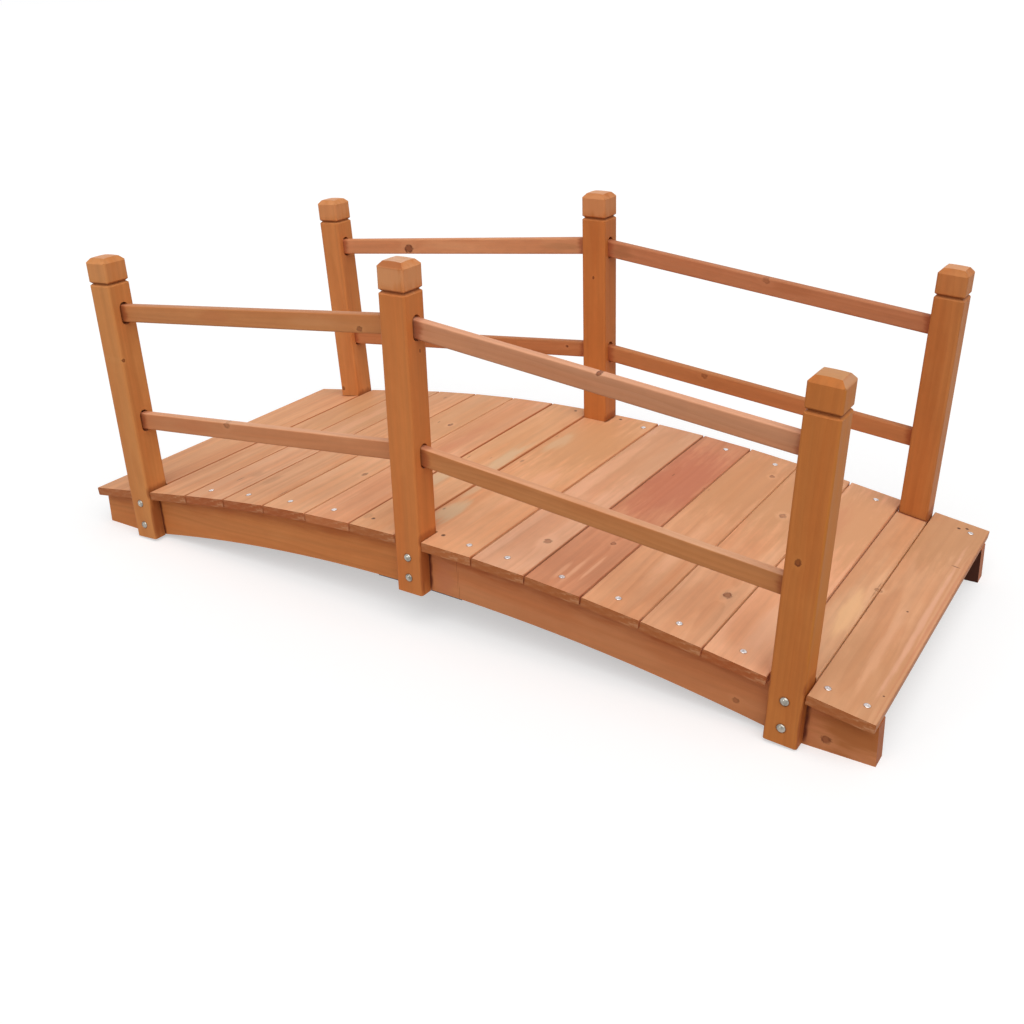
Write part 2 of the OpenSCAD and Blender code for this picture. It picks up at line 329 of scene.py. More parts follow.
rim = times(t, rim, between(t, step(t, one_sided, 0.42, 0.58), 0.5, 1.0))
swell = calc(t, "EXPONENT", times(t, times(t, near, near), -0.12))
put_out(t, result, Core=times(t, fall(t, near, 0.5, 1.25), given["Share"]),
        Rim=times(t, rim, given["Share"]),
        Swell=times(t, times(t, swell, given["Radius"]), 1.5), Halo=fall(t, near, 0.9, 3.2))

# %% [markdown]
# ## Marks
# Screws press a dark ring into soft wood, and an empty pilot hole is a dark dot. The ring
# round a bolt head is partly pressed wood and partly painted shade under the head. Each is
# one soft disc on the face, so one group serves: it puts out how far inside the disc a
# point lies.

# %% Node group: mark
mark, given, result = new_group(
    "mark", {"Vector": "Vector", "Centre": "Vector", "Inner": "Float", "Outer": "Float"},
    {"Mask": "Float"})
reach = vector(mark, "LENGTH", vector(mark, "SUBTRACT", given["Vector"], given["Centre"]))
put_out(mark, result, Mask=fall(mark, reach, given["Inner"], given["Outer"]))

# %% [markdown]
# ## Patches
# Where the stain took badly, or the wood was scuffed or resinous, there is a patch longer
# along the grain than across it, with a ragged edge. A narrow dark one is a slit in the
# grain, and one with a nearly straight edge serves both for stain left in a groove and for
# painted shade along a corner. Painted shade and a painted highlight elsewhere are patches
# too. The group puts out how far inside the patch a point lies.

# %% Node group: patch
patch, given, result = new_group(
    "patch", {"Vector": "Vector", "Centre": "Vector", "Half Width": "Float",
              "Half Length": "Float", "Ragged": "Float", "Seed": "Float"}, {"Mask": "Float"})
t = patch
out = vector(t, "SUBTRACT", given["Vector"], given["Centre"])
elsewhere = vector(t, "ADD", out, put(t, "CombineXYZ", {1: given["Seed"]}).outputs[0])
ragged = noise(t, elsewhere, (90, 90, 14), detail=4, rough=0.6)
parts = put(t, "SeparateXYZ", {0: out}).outputs
reach = long_side(t, calc(t, "DIVIDE", parts[0], given["Half Width"]),
                  calc(t, "DIVIDE", parts[2], given["Half Length"]))
reach = add(t, reach, times(t, less(t, ragged, 0.5), given["Ragged"]))
put_out(t, result, Mask=fall(t, reach, 0.35, 1.1))

# %% [markdown]
# ## Stain in the joints, and end grain
# Stain gathers in the joints between boards. It darkens the last two millimetres before
# a board's long edges, more in one joint than in the next and not the same from the near
# end to the far end. Deeper in the joint the faces get painted light, a pale colour that
# keeps the narrow gap from going black. End grain drinks more stain and gets a colour of
# its own, with paler fibres where the saw tore it. Both could be painted on the mesh, but
# a rule on the plank's own directions holds for every board.

# %% Helpers for joints and ends
def joint_stain(t, colour, local, normal, across, tints, half, low, high):
    """Stains a board's long edges. Half is its half width. For the joint at its low and at
    its high edge, three numbers say how dark it is near the camera, how dark it is on the
    far side, and how much painted light pales the faces deeper down."""
    x, into_board, lengthwise = put(t, "SeparateXYZ", {0: local}).outputs
    on_high = step(t, x, -0.001, 0.001)
    near, far, gap_light_share = (between(t, on_high, a, b) for a, b in zip(low, high))
    share = add(t, near, times(t, step(t, lengthwise, -0.2, 0.2), less(t, far, near)))
    worn = noise(t, local, (60, 60, 45), detail=3)
    rim_at = add(t, calc(t, "ABSOLUTE", x), times(t, worn, 0.0016))
    rim_at = add(t, rim_at, times(t, share, 0.0010))
    share = calc(t, "MINIMUM", share, 1.0)
    gathered = times(t, step(t, rim_at, half - 0.0002, half + 0.0016), share)
    colour = blend(t, gathered, colour, tints["joint"])
    in_joint = step(t, calc(t, "ABSOLUTE", facing(t, normal, across)), 0.5, 0.8)
    # painted light: the faces deep in the joint get a pale colour
    gap_light = times(t, times(t, in_joint, gap_light_share), step(t, into_board, 0.0005, 0.0022))
    off_the_ends = fall(t, calc(t, "ABSOLUTE", lengthwise), 0.276, 0.294)
    return blend(t, times(t, gap_light, off_the_ends), colour,
                 blend(t, share, tints["gap_light"], tints["sawn"]))


def end_grain(t, colour, local, normal, grain, tints):
    """Gives the faces that the grain runs into a colour of their own."""
    end = step(t, calc(t, "ABSOLUTE", facing(t, normal, grain)), 0.72, 0.9)
    torn = step(t, noise(t, local, (55, 170, 0), detail=4, rough=0.65), 0.42, 0.66)
    some = step(t, noise(t, local, (16, 16, 16), detail=1), 0.40, 0.60)
    cut = blend(t, times(t, torn, between(t, some, 0.35, 0.95)), tints["end"], tints["end pale"])
    soaked = vector(t, "MULTIPLY", colour, tints["end tint"][:3])
    return blend(t, end, colour, blend(t, 0.35, cut, soaked))


# %% [markdown]
# ## Marks on a plank
# Knots, patches, screw rings and pilot holes lie where they are on the real bridge. They
# could be painted on each piece, but here each is a point in metres, which is quick to
# move. The groups above work in the plank's own directions, so the point is turned into
# them first. A knot also bends the rings, so its masks are made before the timber, and
# all the other marks are laid over it one by one.

# %% Helpers that lay marks over the timber
HOLE_BROWN = linear(74, 40, 24)


def at(plank, place):
    """What a mark's group is fed: where the surface is and where the mark is."""
    local, to_plank, origin = plank
    return {"Vector": local, "Centre": to_plank @ (Vector(place) - origin)}


def knot_masks(t, plank, knots, seed):
    """The masks of all knots together. A knot is (place, radius, direction, share)."""
    masks = {}
    for place, radius, direction, share in knots:
        one = use(t, knot, at(plank, place) | {
            "Through": plank[1] @ Vector(direction), "Radius": radius, "Share": share,
            "Seed": seed + 100 * place[0]})
        for key, join in (("Swell", "ADD"), ("Core", "MAXIMUM"), ("Rim", "MAXIMUM"),
                          ("Halo", "MAXIMUM")):
            masks[key] = calc(t, join, masks[key], one[key]) if key in masks else one[key]
    return masks


def lay_patches(t, plank, colour, normal, patches, seed):
    """A patch is (place, half width, half length, colour, share), and may end with the
    direction of the only faces that show it."""
    for place, half_width, half_length, tint, share, *only in patches:
        straight = half_length < 0.007 < half_width
        spot = use(t, patch, at(plank, place) | {
            "Half Width": half_width, "Half Length": half_length,
            "Ragged": 0.25 if straight else 1.6, "Seed": seed + 10 * place[0]})[0]
        if only:
            spot = times(t, spot, step(t, facing(t, normal, only[0]), 0.5, 0.8))
        colour = blend(t, times(t, spot, share), colour, linear(*tint))
    return colour


def lay_rings_and_holes(t, plank, colour, height, tints, rings, holes):
    """Both are (place, radius). A hole is darker than a ring and far deeper."""
    for places, inner, outer, share, tint, deep in (
            (rings, 0.95, 1.35, 0.35, tints["rim"], 1.5), (holes, 0.5, 1.3, 0.92, HOLE_BROWN, 4)):
        for place, radius in places:
            spot = use(t, mark, at(plank, place) | {
                "Inner": radius * inner, "Outer": radius * outer})[0]
            colour = blend(t, times(t, spot, share), colour, tint)
            height = less(t, height, times(t, spot, deep))
    return colour, height


# %% [markdown]
# ## One timber finish for each piece
# No two planks match, so each piece gets a material of its own: its directions, its
# place in the tree, its tints, its knots. One material for all would be quicker, but the
# grain would then run through from plank to plank. The Mapping node turns the object's
# coordinates into the plank's, with the grain along z.

# %% Make a timber material
def timber_finish(name, origin, grain, across, tints, seed, centre, knots=(), holes=(),
                  rings=(), patches=(), joint=None):
    """A material for one plank. Its origin, grain and across are in the bridge's own
    directions, in metres. A joint is what joint_stain takes from half on."""
    grain, across, origin = Vector(grain).normalized(), Vector(across), Vector(origin)
    across = (across - grain * across.dot(grain)).normalized()
    to_plank = Matrix((across, grain.cross(across), grain))
    material, t = new_material(name)
    coords = put(t, "TexCoord").outputs
    normal = coords["Normal"]
    local = put(t, "Mapping", {"Vector": coords["Object"], "Location": -(to_plank @ origin),
                               "Rotation": to_plank.to_euler()}).outputs[0]
    plank = local, to_plank, origin
    knotty = knot_masks(t, plank, knots, seed)
    wood = use(t, timber, {key.title(): tints[key] for key in (
        "ring", "contrast", "base", "late", "warm", "pale")} | {
        "Vector": local, "Seed": seed, "Centre X": centre[0], "Centre Y": centre[1],
        "Swell": knotty.get("Swell", 0.0)})
    colour = lay_patches(t, plank, wood["Color"], normal, patches, seed)
    height = wood["Height"]
    if knotty:
        colour = blend(t, times(t, knotty["Halo"], 0.5), colour, tints["pale"])
        colour = blend(t, knotty["Core"], colour, tints["knot"])
        colour = blend(t, knotty["Rim"], colour, tints["rim"])
        height = less(t, height, times(t, knotty["Rim"], 0.8))
    colour, height = lay_rings_and_holes(t, plank, colour, height, tints, rings, holes)
    if joint is not None:
        colour = joint_stain(t, colour, local, normal, across, tints, *joint)
    colour = end_grain(t, colour, local, normal, grain, tints)
    # painted light: faces that look up get a paler colour
    if tints["top light tint"]:
        paler = vector(t, "MULTIPLY", colour, tints["top light tint"])
        colour = blend(t, step(t, facing(t, normal, across), 0.35, 0.75), colour, paler)
    bump = put(t, "Bump", {"Strength": 0.5, "Distance": 0.0004, "Height": height})
    shader = put(t, "BsdfPrincipled", {"Base Color": colour, "Roughness": wood["Roughness"],
                                       "Specular IOR Level": 0.22, "Normal": bump.outputs[0]})
    put(t, "OutputMaterial", {"Surface": shader.outputs[0]})
    return material


def dress(node, material):
    """Puts a material in every slot of a frame node, or gives it its first slot."""
    slots = nodes[node].material_slots
    if not slots:
        nodes[node].data.materials.append(material)
    for slot in slots:
        slot.material = material


# %% [markdown]
# ## The tints
# All the timber carries the same thin orange-brown garden stain, but the boards were cut
# from paler wood than the posts, and the rails are pinker. A look starts from the mean
# colour, and the rest follows from it by factors, so that one number changes them all.
# Late wood is darker and redder than the mean, warm bands a little redder, pale patches a
# little greyer, and knots much darker. The end grain has a colour of its own, and a paler
# top colour may be given to upward faces as painted light from above.

# %% A look from a few colours
def shade(colour, by):
    """A linear colour times three factors."""
    return tuple(c * k for c, k in zip(colour, by)) + (1.0,)


def look(base, end, contrast=0.35, ring=0.005, end_pale=None, top=None):
    mean, end = linear(*base), linear(*end)
    return {"base": mean, "late": shade(mean, (0.74, 0.58, 0.46)),
            "warm": shade(mean, (0.94, 0.83, 0.75)), "pale": shade(mean, (1.08, 1.15, 1.20)),
            "knot": shade(mean, (0.40, 0.28, 0.22)), "rim": shade(mean, (0.22, 0.13, 0.10)),
            "joint": shade(mean, (0.66, 0.45, 0.33)), "gap_light": linear(255, 214, 168),
            "sawn": shade(mean, (1.16, 1.42, 1.60)), "end": end,
            "end pale": linear(*end_pale) if end_pale else shade(end, (1.1, 1.15, 1.2)),
            "end tint": tuple(e / m for e, m in zip(end, mean)), "ring": ring,
            "top light tint": tuple(a / m for a, m in zip(linear(*top), mean))[:3] if top else None,
            "contrast": contrast}


rng = random.Random(4)


def tree_centre(sideways, near, far):
    """Where the tree's centre lies, across a plank and before or behind it."""
    return rng.uniform(-sideways, sideways), rng.uniform(near, far) * rng.choice((-1, 1))


print("a look gives", *look((200, 130, 80), (170, 100, 50)))

# %% [markdown]
# ## Where the deck boards lie
# Screws, pilot holes and the boards' grain need each board's middle and slope. They could
# be measured on the meshes, but the same few sizes that lay the boards out in the model
# are repeated here: the deck is an arc that turns into a straight slope, and each board
# lies flat on it.

# %% Lay out the boards
HALF_LENGTH, CROWN, RADIUS, BOARD_T, GAP = 0.700, 0.145, 2.950, 0.014, 0.0025
POST_X = HALF_LENGTH - 0.113
arc_turn = math.radians(8.8)
ARC_HALF = RADIUS * math.sin(arc_turn)
COVER = {1: 0.136, 8: 0.133, 14: 0.048, 15: 0.087}
REGULAR = (2 * HALF_LENGTH - sum(COVER.values()) - 14 * GAP) / 11


def deck_z(x):
    x = abs(x)
    if x <= ARC_HALF:
        return CROWN - RADIUS + math.sqrt(RADIUS ** 2 - x ** 2)
    return CROWN - RADIUS * (1 - math.cos(arc_turn)) - (x - ARC_HALF) * math.tan(arc_turn)


def deck_turn(x):
    return math.copysign(arc_turn, x) if abs(x) > ARC_HALF else math.asin(x / RADIUS)


boards, edge = {}, -HALF_LENGTH
for i in range(1, 16):
    width = COVER.get(i, REGULAR)
    middle = edge + width / 2
    boards[i] = {"x": middle, "from": edge, "to": edge + width, "turn": deck_turn(middle),
                 "z": deck_z(middle)}
    edge += width + GAP


def on_board(i, x, y):
    """A point of board i's upper face."""
    b = boards[i]
    return Vector((x, y, b["z"] - (x - b["x"]) * math.tan(b["turn"])))


def board_at(x):
    return next(i for i, b in boards.items() if b["from"] - GAP <= x <= b["to"] + GAP)


# %% [markdown]
# ## Screws and holes in the deck
# Each board is held by zinc-plated screws near its ends, over the beams. Two to a side
# would be usual, but this bridge was drilled more freely: on the near side most boards
# show one and the last one two, on the far side five screws show, four boards show none,
# and eight pilot holes were never used. A regular pattern would be less work, but these
# places are what makes it this bridge.

# %% Places of the screws and holes
SCREW_ROW = 0.267
screw_rows = {-1: (-0.441, -0.353, -0.260, -0.168, 0.089, 0.155, 0.245, 0.334, 0.425, 0.516,
                   0.629, 0.679),
              1: (0.096, 0.257, 0.348, 0.524, 0.677)}
screws = {i: [] for i in boards}
for side, row in screw_rows.items():
    for x in row:
        screws[board_at(x)].append(on_board(board_at(x), x, side * SCREW_ROW))
pilot_holes = {i: [] for i in boards}
for x, y, radius in ((-0.090, -0.266, 0.003), (0.038, -0.261, 0.0034), (-0.053, 0.280, 0.003),
                     (0.042, 0.281, 0.003), (0.690, -0.235, 0.0014), (0.658, 0.270, 0.0029),
                     (0.669, 0.278, 0.0029), (0.660, -0.026, 0.0016)):
    pilot_holes[board_at(x)].append((on_board(board_at(x), x, y), radius))
print("screws:", sum(len(s) for s in screws.values()), "without a screw:",
      [i for i, s in screws.items() if not s])

# %% [markdown]
# ## The deck's marks
# Every board has marks of its own: knots, slits, grey and pale patches, and one board is
# red over most of its length. They are listed by board, from the left end to the right
# one. Painted shade lies along the posts' feet, and a painted highlight along the rounded
# right edge of the last board. The far half of most boards is darker than the near half.

# %% Knots and patches of the boards
# (x, y, radius, share)
deck_knots = {5: [(-0.230, 0.125, 0.0042, 0.75), (-0.220, -0.131, 0.0042, 0.7)],
              9: [(0.177, -0.193, 0.0052, 0.6)],
              10: [(0.258, -0.142, 0.0036, 0.55)],
              11: [(0.361, 0.220, 0.0038, 0.6)],
              12: [(0.448, -0.161, 0.0055, 0.8), (0.425, 0.105, 0.005, 0.5)],
              14: [(0.6085, -0.001, 0.0032, 0.5)], 15: [(0.6135, -0.001, 0.0026, 0.45)]}
grey, pale, dark, red = (222, 189, 150), (246, 187, 148), (124, 76, 48), (198, 114, 84)
# post_foot_shade is painted shade on the deck along the posts' feet
post_foot_shade = (112, 44, 16)
# (x, y, half width, half length, colour, share)
deck_patches = {
    1: [(-POST_X, 0.2540, 0.024, 0.0055, post_foot_shade, 0.9)],
    2: [(-0.545, -0.020, 0.012, 0.060, pale, 0.4)],
    3: [(-0.4305, -0.2097, 0.0012, 0.012, dark, 0.8), (-0.4155, -0.184, 0.014, 0.02, dark, 0.22),
        (-0.430, 0.10, 0.02, 0.12, pale, 0.4)],
    4: [(-0.298, -0.243, 0.0012, 0.016, dark, 0.8), (-0.344, 0.263, 0.003, 0.006, dark, 0.4),
        (-0.365, -0.200, 0.012, 0.025, dark, 0.2)],
    5: [(-0.2614, 0.1316, 0.002, 0.004, dark, 0.6), (-0.25, -0.02, 0.016, 0.10, pale, 0.45)],
    6: [(-0.16, 0.05, 0.02, 0.12, red, 0.25)],
    7: [(-0.094, -0.104, 0.022, 0.055, grey, 0.65), (-0.040, 0.02, 0.020, 0.090, grey, 0.65),
        (-0.1023, 0.0026, 0.0012, 0.008, dark, 0.6), (-0.0653, 0.0154, 0.001, 0.006, dark, 0.5),
        (-0.103, -0.262, 0.008, 0.012, dark, 0.25)],
    8: [(0.000, -0.190, 0.020, 0.055, grey, 0.8), (-0.015, -0.110, 0.010, 0.040, grey, 0.5),
        (-0.0142, -0.188, 0.003, 0.006, dark, 0.55), (-0.011, 0.029, 0.004, 0.008, dark, 0.45),
        (0.003, 0.134, 0.016, 0.06, grey, 0.5), (-0.0161, 0.1515, 0.001, 0.006, dark, 0.5),
        (0.060, -0.06, 0.02, 0.10, pale, 0.4), (0.0240, 0.276, 0.0035, 0.026, post_foot_shade, 0.85)],
    9: [(0.177, -0.193, 0.022, 0.035, pale, 0.5), (0.13, 0.05, 0.015, 0.16, pale, 0.4)],
    10: [(0.250, 0.100, 0.075, 0.19, (192, 111, 82), 0.7),
         (0.228, 0.119, 0.0015, 0.007, dark, 0.55), (0.289, 0.105, 0.0015, 0.006, dark, 0.4),
         (0.250, -0.238, 0.004, 0.05, pale, 0.55), (0.268, -0.225, 0.003, 0.045, pale, 0.55),
         (0.236, -0.25, 0.005, 0.035, pale, 0.4)],
    11: [(0.2979, 0.1058, 0.0015, 0.006, dark, 0.4), (0.345, -0.10, 0.015, 0.12, pale, 0.4)],
    12: [(0.425, 0.103, 0.008, 0.012, dark, 0.22), (0.448, -0.161, 0.010, 0.02, dark, 0.3)],
    13: [(0.52, -0.20, 0.018, 0.09, pale, 0.5), (0.50, 0.12, 0.02, 0.12, red, 0.2)],
    14: [(0.595, -0.09, 0.016, 0.08, (240, 188, 138), 0.75),
         (0.6085, -0.001, 0.0015, 0.03, dark, 0.5),
         (POST_X, 0.2545, 0.060, 0.0050, post_foot_shade, 0.95)],
    15: [(0.657, -0.142, 0.010, 0.14, pale, 0.35), (0.6950, -0.02, 0.0025, 0.28, red, 0.35),
         # a painted highlight along the rounded right edge of the last board
         (0.684, -0.02, 0.005, 0.28, (236, 178, 146), 0.6),
         (0.684, 0.146, 0.008, 0.0016, dark, 0.85)]}
print("patches on the deck:", sum(len(p) for p in deck_patches.values()))

# %% Tints and joints of the boards
END, RED_END = (169, 97, 51), (166, 88, 44)


def darker_far_half(share):
    """A darker far half of a board."""
    return ((0.155, 0.17, share),)


# (colour, colour of the ends, darker parts as (y, half length, share))
board_looks = {
    1: ((223, 160, 114), END, ()),
    2: ((226, 166, 121), END, darker_far_half(0.5)),
    3: ((228, 169, 127), RED_END, darker_far_half(0.65)),
    4: ((227, 167, 123), RED_END, ()),
    5: ((232, 172, 128), RED_END, darker_far_half(0.55)),
    6: ((233, 169, 127), (185, 108, 62), darker_far_half(0.55)),
    7: ((234, 174, 128), END, darker_far_half(0.45)),
    8: ((235, 172, 126), (175, 102, 55), darker_far_half(0.75)),
    9: ((231, 173, 136), END, darker_far_half(0.6)),
    10: ((215, 146, 108), END, ()),
    11: ((227, 164, 121), END, darker_far_half(0.65)),
    12: ((231, 170, 128), END, darker_far_half(0.8)),
    13: ((242, 179, 138), RED_END, darker_far_half(1)),
    14: ((219, 163, 122), END, ()),
    15: ((218, 160, 119), END, ((-0.22, 0.14, 0.45), (0.245, 0.15, 0.7)))}
# for each edge, from the left end to the right one: how dark the joint is near the camera,
# how dark on the far side, and how much painted light pales the faces deeper down
joints = [(0.7, 0.7, 0), (2.0, 2.0, 0), (1.3, 0.8, 0.6), (1.1, 0.8, 0.9), (0.75, 0.85, 1),
          (0.7, 0.6, 1), (0.7, 2.0, 0), (2.2, 2.6, 0), (1.0, 1.0, 0.9), (1.2, 1.4, 0.4),
          (0.9, 0.65, 1), (0.5, 0.2, 1), (0.4, 0.2, 1), (0.75, 0.8, 1), (0.0, 0.0, 1),
          (0.7, 0.7, 0)]
print("board edges with a stain of their own:", len(joints))

# %% Dress the deck boards
UPRIGHT, SCREW_RING = (0, 0, 1), 0.0046
for i, b in boards.items():
    colour, end, darker_parts = board_looks[i]
    tints = look(colour, end, ring=rng.uniform(0.008, 0.014), contrast=rng.uniform(0.2, 0.4),
                 end_pale=(206, 150, 108))
    centre = tree_centre(0.05, 0.035, 0.10)
    slope = Vector((math.cos(b["turn"]), 0, -math.sin(b["turn"])))
    knots = [(on_board(i, x, y), r, UPRIGHT, share) for x, y, r, share in deck_knots.get(i, ())]
    deeper = tuple(c * k for c, k in zip(colour, (0.90, 0.885, 0.83)))
    marks = [(b["x"], y, 0.12, half_length, deeper, share) for y, half_length, share in darker_parts]
    spots = [(on_board(i, x, y), *rest) for x, y, *rest in marks + deck_patches[i]]
    half = (b["to"] - b["from"]) / 2 / slope.x
    dress(f"deck_board_{i}", timber_finish(
        f"deck_timber_{i}", (b["x"], 0, b["z"]), (0, 1, 0), slope, tints, i * 1.37, centre, knots,
        pilot_holes[i], [(p, SCREW_RING) for p in screws[i]], spots,
        (half, joints[i - 1], joints[i])))
print("boards dressed:", len(boards))

# %% [markdown]
# ## Posts
# The posts stand on end, so their grain runs up, tilted with the lean of the end posts.
# A post this thin comes from near the edge of a log and shows long, nearly straight
# lines. The heads are paler than the shafts and the grooves under them hold more stain.
# The corners where a post meets its beam and the deck get painted shade. These places are
# patches in the same material, so the posts' meshes stay as they are.

# %% Sizes of the posts and places of the bolts
LEAN = math.radians(3.5)
POST_HALF, POST_Y, POST_FACE_Y = 0.023, 0.278, 0.300
FOOT_Z = 0.004
FOOT_X = POST_X - (deck_z(POST_X) - FOOT_Z) * math.tan(LEAN)
# a dark ring round each bolt head: wood pressed by the head, and painted shade under its rim
BOLT_DENT_AND_SHADE_RING = 0.0064
INTO = (0, 1, 0)
SIDES = (("near", -1), ("far", 1))


def axis_x(s, z):
    """Where a post's middle line is at a height. s is -1 left, 0 middle and 1 right."""
    return s * (FOOT_X + (z - FOOT_Z) * math.tan(LEAN))


bolt_places, bolt_dent_and_shade_rings = {}, {}
for place, s, upper, lower in (("left", -1, 0.068, 0.028), ("right", 1, 0.068, 0.028),
                               ("middle", 0, 0.1155, 0.0825)):
    for row, z in (("upper", upper), ("lower", lower)):
        bolt_places[f"{place}_{row}"] = (axis_x(s, z), z)
        for side_name, side in SIDES:
            bolt_dent_and_shade_rings.setdefault(f"post_{side_name}_{place}", []).append(
                ((axis_x(s, z), side * POST_FACE_Y, z), BOLT_DENT_AND_SHADE_RING))
print("bolts to a side:", len(bolt_places), "a foot is", round(FOOT_X, 4), "m from the middle")

# %% Marks and tints of the posts
post_knots = {
    "post_near_right": [((0.592, -0.300, 0.2635), 0.0036, INTO, 0.8)],
    "post_near_left": [((-0.572, -0.2965, 0.328), 0.0022, (1, 0, 0), 0.8)],
    "post_near_middle": [((0.023, -0.272, 0.4306), 0.0019, (1, 0, 0), 0.7)],
    "post_far_left": [((-0.6035, 0.2560, 0.1030), 0.0034, INTO, 0.8)],
    "post_far_middle": [((0.000, 0.2560, 0.4128), 0.0019, INTO, 0.9)],
}
# (colour, colour of the top, share of the paler head)
post_looks = {
    "post_near_left": ((207, 135, 75), (214, 150, 104), 0.2),
    "post_near_middle": ((206, 124, 64), (217, 162, 120), 0.65),
    "post_near_right": ((194, 116, 55), (200, 142, 94), 0.0),
    "post_far_left": ((205, 131, 73), (214, 150, 104), 0.4),
    "post_far_middle": ((194, 115, 57), (214, 150, 104), 0.45),
    "post_far_right": ((190, 117, 61), (214, 150, 104), 0.1)}
# (colour, share, the direction that the bevel looks in)
bevel_tints = {"post_near_middle": ((166, 92, 46), 0.75, (0, -0.96, 0.28)),
                "post_near_right": ((206, 160, 124), 0.6, (0.96, 0, 0.28))}
# CORNER_SHADE is painted shade where a post meets its beam and the deck
CORNER_SHADE, GROOVE_STAIN, HEAD_TINT = (132, 56, 24), (100, 44, 16), (222, 158, 110)


def post_patches(node, s, y):
    """A paler head, a dark groove, and painted shade on the sides where the post meets its beam
    and the deck.
    """
    def axis(z, sideways=0):
        return Vector((axis_x(s, z) + sideways * POST_HALF, y, z))
    deck = deck_z(s * POST_X)
    head, groove = (0.541, 0.517) if s == 0 else (0.4775, 0.4542)
    # painted shade down both sides of the post, beside its beam and just above the deck
    spots = [(axis(z, e), 0.0028, tall, CORNER_SHADE, 0.5) for e in (-1, 1)
             for z, tall in ((deck - BOARD_T - 0.035, 0.045), (deck + 0.002, 0.012))]
    if node == "post_near_right":
        spots.append((axis(0.29, 1), 0.0028, 0.26, (196, 122, 44), 0.5))
    spots += [(axis(head), 0.06, 0.026, HEAD_TINT, post_looks[node][2]),
              (axis(groove), 0.06, 0.0028, GROOVE_STAIN, 0.6)]
    if node in bevel_tints:
        tint, share, way = bevel_tints[node]
        spots.append((axis(head + 0.0145), 0.06, 0.0065, tint, share, way))
    return spots


# %% Dress the posts
for side_name, side in SIDES:
    for place, s in (("left", -1), ("middle", 0), ("right", 1)):
        node, y = f"post_{side_name}_{place}", side * POST_Y
        centre = tree_centre(0.07, 0.03, 0.08)
        colour, top, _ = post_looks[node]
        tints = look(colour, top, contrast=0.22, ring=rng.uniform(0.007, 0.011))
        dress(node, timber_finish(
            f"{node}_timber", (s * FOOT_X, y, FOOT_Z), (s * math.sin(LEAN), 0, math.cos(LEAN)),
            (1, 0, 0), tints, rng.uniform(20, 60), centre, post_knots.get(node, ()),
            rings=bolt_dent_and_shade_rings[node], patches=post_patches(node, s, y)))
print("posts dressed:", len(post_looks))

# %% [markdown]
# ## Rails
# The rails are long thin battens that slope down from the middle posts to the end ones.
# Their grain follows the slope, and their broad faces look across the bridge. The near
# rails get painted light on their upper faces, and all are darker where they go into the
# posts. The pale top is a second tint for upward faces, and the ends are patches.

# %% Sizes and marks of the rails
SLOT_IN, SLOT_WIDTH, RAIL_GAP, RAIL_T, RAIL_RUN = 0.024, 0.018, 0.0005, 0.014, 0.572
RAIL_Y = POST_FACE_Y - SLOT_IN - SLOT_WIDTH / 2 + RAIL_GAP + RAIL_T / 2
RAIL_ENDS = {"upper": (0.464, 0.404), "lower": (0.273, 0.217)}
# the rails are darker where they go into the posts
RAIL_END_DARK = (146, 62, 28)
rail_knots = {
    "rail_far_left_upper": [((-0.418, RAIL_Y, 0.4175), 0.0072, INTO, 0.9)],
    "rail_near_left_upper": [((-0.075, -RAIL_Y, 0.4505), 0.0036, INTO, 0.65)],
    "rail_near_right_upper": [((0.312, -RAIL_Y, 0.4470), 0.0024, INTO, 0.95)],
    "rail_far_right_upper": [((0.316, RAIL_Y, 0.4425), 0.0045, INTO, 0.35)],
    "rail_far_right_lower": [((0.2124, RAIL_Y, 0.2609), 0.004, INTO, 0.45)],
    "rail_near_left_lower": [((-0.369, -RAIL_Y, 0.2479), 0.0045, INTO, 0.4)],
    "rail_far_left_lower": [((-0.0627, RAIL_Y, 0.2734), 0.0020, INTO, 0.9)],
}
# (colour, colour of the upper face where it is paler)
rail_looks = {
    "rail_near_left_upper": ((200, 130, 78), (200, 140, 100)),
    "rail_near_right_upper": ((205, 142, 104), (226, 164, 128)),
    "rail_near_left_lower": ((204, 135, 91), (227, 169, 131)),
    "rail_near_right_lower": ((193, 126, 75), (224, 166, 127)),
    "rail_far_left_upper": ((210, 143, 100), None), "rail_far_right_upper": ((189, 120, 81), None),
    "rail_far_left_lower": ((189, 119, 74), None), "rail_far_right_lower": ((187, 118, 71), None)}
rail_patches = {
    "rail_far_left_upper": [((-0.07, RAIL_Y, 0.460), 0.010, 0.050, (176, 122, 82), 0.5),
                            ((-0.30, RAIL_Y, 0.437), 0.009, 0.070, (222, 158, 112), 0.4)],
    "rail_far_right_upper": [((0.05, RAIL_Y, 0.462), 0.014, 0.028, (158, 100, 62), 0.5),
                             ((0.36, RAIL_Y, 0.433), 0.012, 0.050, (170, 100, 60), 0.35)],
    "rail_near_left_upper": [((-0.37, -RAIL_Y, 0.428), 0.012, 0.040, (190, 112, 66), 0.4),
                             ((-0.16, -RAIL_Y, 0.449), 0.010, 0.060, (212, 146, 96), 0.35)],
    "rail_near_right_upper": [((0.08, -RAIL_Y, 0.457), 0.012, 0.040, (214, 146, 104), 0.4)],
    "rail_near_left_lower": [((-0.45, -RAIL_Y, 0.231), 0.012, 0.050, (196, 116, 72), 0.4)]}
print("a rail's middle is", round(RAIL_Y, 4), "m from the bridge's middle line")

